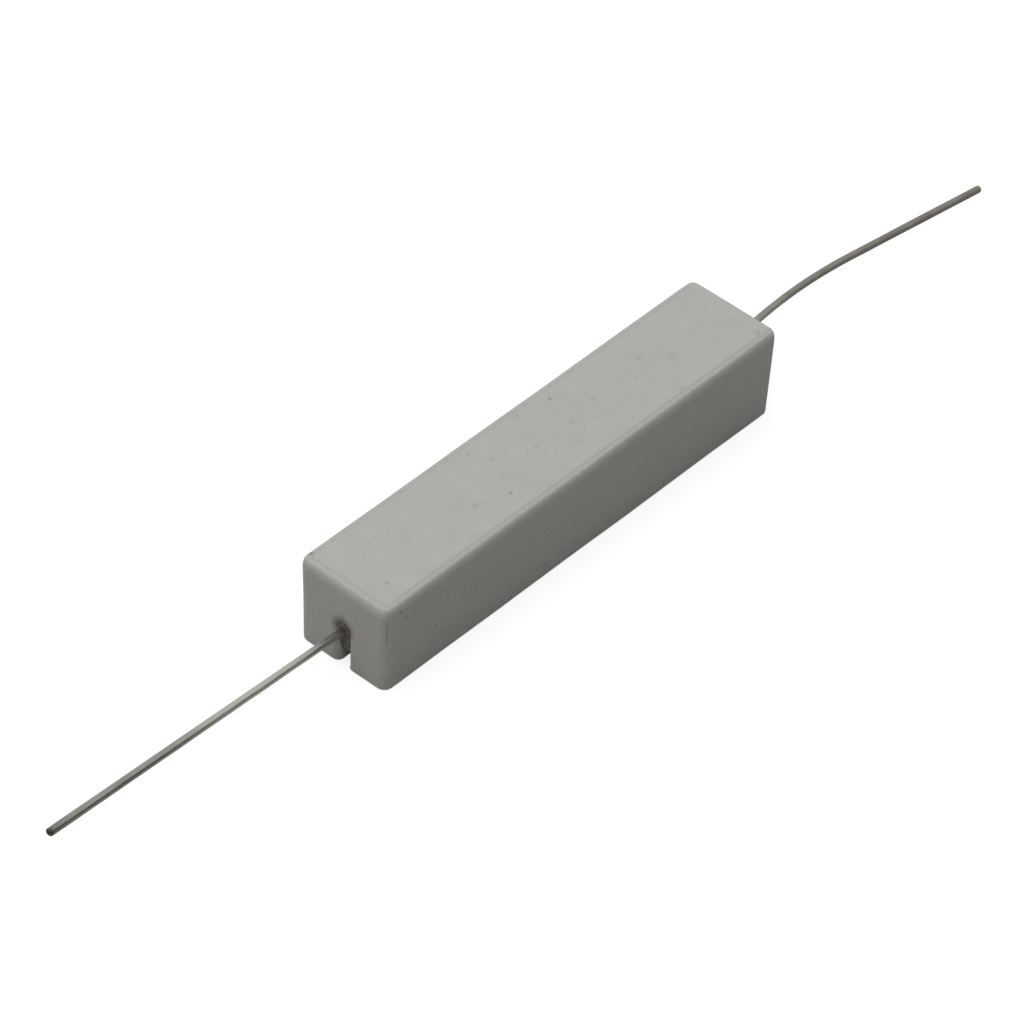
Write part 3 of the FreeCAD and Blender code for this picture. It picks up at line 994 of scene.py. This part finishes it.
def dress(piece, material):
    """Gives a piece or a CAD node's object one material."""
    piece.data.materials.clear()
    piece.data.materials.append(material)


# ---- Operators ----


class RESISTOR_OT_body(bpy.types.Operator):
    """Build the ceramic body"""

    bl_idname = "resistor.body"
    bl_label = "Ceramic body"

    def execute(self, context):
        body = context.scene.resistor_body
        piece = finish_mesh("ceramic_body", [ceramic_body(body)], "ceramic_case")
        dress(piece, ceramic_material(body))
        return {"FINISHED"}


class RESISTOR_OT_cement(bpy.types.Operator):
    """Build the cement and its tongue in each slot"""

    bl_idname = "resistor.cement"
    bl_label = "Cement"

    def execute(self, context):
        settings = context.scene.resistor_cement
        grids = cement_grids(settings, context.scene.resistor_body)
        piece = finish_mesh("cement_pour", grids, "cement_fill")
        dress(piece, cement_material(settings))
        return {"FINISHED"}


class RESISTOR_OT_leads(bpy.types.Operator):
    """Build the two tinned wire leads"""

    bl_idname = "resistor.leads"
    bl_label = "Leads"

    def execute(self, context):
        leads = context.scene.resistor_leads
        material = wire_material(leads)
        more = in_mm(leads, "thickening")
        wires = (
            ("near_wire", NEAR_ROUTE, NEAR_BENDS, more, "lead_near"),
            ("far_wire", FAR_ROUTE, FAR_BENDS, more / 3, "lead_far"),
        )
        for seed, (name, route, bends, thicker, replaced) in enumerate(wires):
            points, travel, angle = wire_surface(route, bends, leads, thicker, seed + 3)
            piece = finish_mesh(name, [points], replaced, wire_coordinates(travel, angle))
            dress(piece, material)
        return {"FINISHED"}


class RESISTOR_OT_element(bpy.types.Operator):
    """Give the wound element inside the cement its materials"""

    bl_idname = "resistor.element"
    bl_label = "Wound element"

    def execute(self, context):
        element = context.scene.resistor_element
        dress(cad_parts["core_rod"], core_material(element))
        dress(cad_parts["resistance_winding"], metal_material("resistance_strip", element.strip, 0.35, 0.08))
        steel = metal_material("cap_steel", element.cap, 0.4, 0.15)
        dress(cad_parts["end_cap_near"], steel)
        dress(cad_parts["end_cap_far"], steel)
        return {"FINISHED"}


def shown_rays(tree, reflected):
    """Share of a background that a ray shows: all to the camera and through glass, and a set share in reflections."""
    path = tree.nodes.new("ShaderNodeLightPath").outputs
    mirrored = math_node(tree, "MULTIPLY", path["Is Glossy Ray"], reflected)
    total = math_node(tree, "MAXIMUM", path["Is Camera Ray"], mirrored)
    return math_node(tree, "MAXIMUM", total, path["Is Transmission Ray"])


def floor_material():
    """Pale floor that reads as white and keeps a shadow: a diffuse surface that glows for the rays that show it."""
    material, tree, shader, _ = new_material("stage_floor")
    seen = shown_rays(tree, 0.15)
    links = {
        "Base Color": mix_colours(tree, seen, (0.46, 0.46, 0.46), (0.3, 0.3, 0.3)),
        "Roughness": 1.0,
        "Specular IOR Level": 0.0,
        "Emission Color": (1.0, 1.0, 1.0, 1.0),
        "Emission Strength": math_node(tree, "MULTIPLY", seen, 0.8),
    }
    set_inputs(tree, shader, links)
    return material


def flag_material(stage):
    """Matt dark cloth of the flag."""
    material, tree, shader, point = new_material("flag_cloth")
    grain = grain_node(tree, point, 2.0, 60.0)
    tone = mix_colours(tree, grain["Patches"], shade(stage.flag, 0.8), shade(stage.flag, 1.2))
    set_inputs(tree, shader, {"Base Color": tone, "Roughness": 1.0, "Specular IOR Level": 0.0})
    return material


def stage_plate(name, corners, material):
    """A flat four-cornered plate of the stage."""
    mesh = bpy.data.meshes.new(name)
    mesh.from_pydata(corners, [], [(0, 1, 2, 3)])
    mesh.materials.append(material)
    plate = add_object(name, mesh)
    return plate


class RESISTOR_OT_stage(bpy.types.Operator):
    """Build the floor, the light, the room and the camera"""

    bl_idname = "resistor.stage"
    bl_label = "Stage"

    def execute(self, context):
        stage = context.scene.resistor_stage
        half = stage.floor_size / 2
        corners = [(x * half, y * half, FLOOR_Z) for x, y in ((-1, -1), (1, -1), (1, 1), (-1, 1))]
        stage_plate("stage_floor", corners, floor_material())
        flag = stage_plate("stage_flag", FLAG_CORNERS, flag_material(stage))
        flag.visible_camera = False

        lamp = bpy.data.lights.new("soft_box", "AREA")
        lamp.shape = "SQUARE"
        lamp.size = stage.lamp_size
        lamp.energy = stage.lamp_power
        holder = add_object("soft_box", lamp)
        place = Vector((*LAMP_PLACE, stage.lamp_height))
        holder.matrix_world = Matrix.Translation(place) @ place.to_track_quat("Z", "Y").to_matrix().to_4x4()
        holder.visible_glossy = False

        world = bpy.data.worlds.new("studio_room")
        context.scene.world = world
        world.use_nodes = True
        tree = world.node_tree
        colour = mix_colours(tree, shown_rays(tree, 1.0), stage.room, (1.0, 1.0, 1.0))
        set_inputs(tree, tree.nodes["Background"], {"Color": colour, "Strength": 1.0})

        lens = bpy.data.cameras.new("photo_camera")
        lens.lens = stage.lens
        lens.sensor_width = SENSOR_WIDTH
        camera = add_object("photo_camera", lens)
        camera.matrix_world = Matrix.Translation(CAMERA_PLACE) @ Matrix(CAMERA_TURN).to_4x4()
        context.scene.camera = camera
        context.scene.view_settings.view_transform = "Standard"
        return {"FINISHED"}


class RESISTOR_PT_panel(bpy.types.Panel):
    """Buttons and settings in the 3D view's sidebar"""

    bl_idname = "RESISTOR_PT_panel"
    bl_label = "Cement resistor"
    bl_space_type = "VIEW_3D"
    bl_region_type = "UI"
    bl_category = "Resistor"

    def draw(self, context):
        layout = self.layout
        for operator in OPERATORS:
            layout.operator(operator.bl_idname)
        for name, group in SETTINGS.items():
            box = layout.box()
            box.label(text=group.__doc__)
            for key in group.__annotations__:
                box.prop(getattr(context.scene, name), key)


OPERATORS = (RESISTOR_OT_body, RESISTOR_OT_cement, RESISTOR_OT_leads, RESISTOR_OT_element, RESISTOR_OT_stage)


def register():
    """Adds the classes, and one settings pointer a group to the scene."""
    for item in (*SETTINGS.values(), *OPERATORS, RESISTOR_PT_panel):
        bpy.utils.register_class(item)
    for name, group in SETTINGS.items():
        setattr(bpy.types.Scene, name, bpy.props.PointerProperty(type=group))


def unregister():
    """Takes the settings and classes out again."""
    for name in SETTINGS:
        delattr(bpy.types.Scene, name)
    for item in reversed((*SETTINGS.values(), *OPERATORS, RESISTOR_PT_panel)):
        bpy.utils.unregister_class(item)


def main():
    """Builds every piece in order."""
    register()
    for operator in OPERATORS:
        getattr(bpy.ops.resistor, operator.bl_idname.split(".")[1])()


if __name__ == "__main__":
    main()
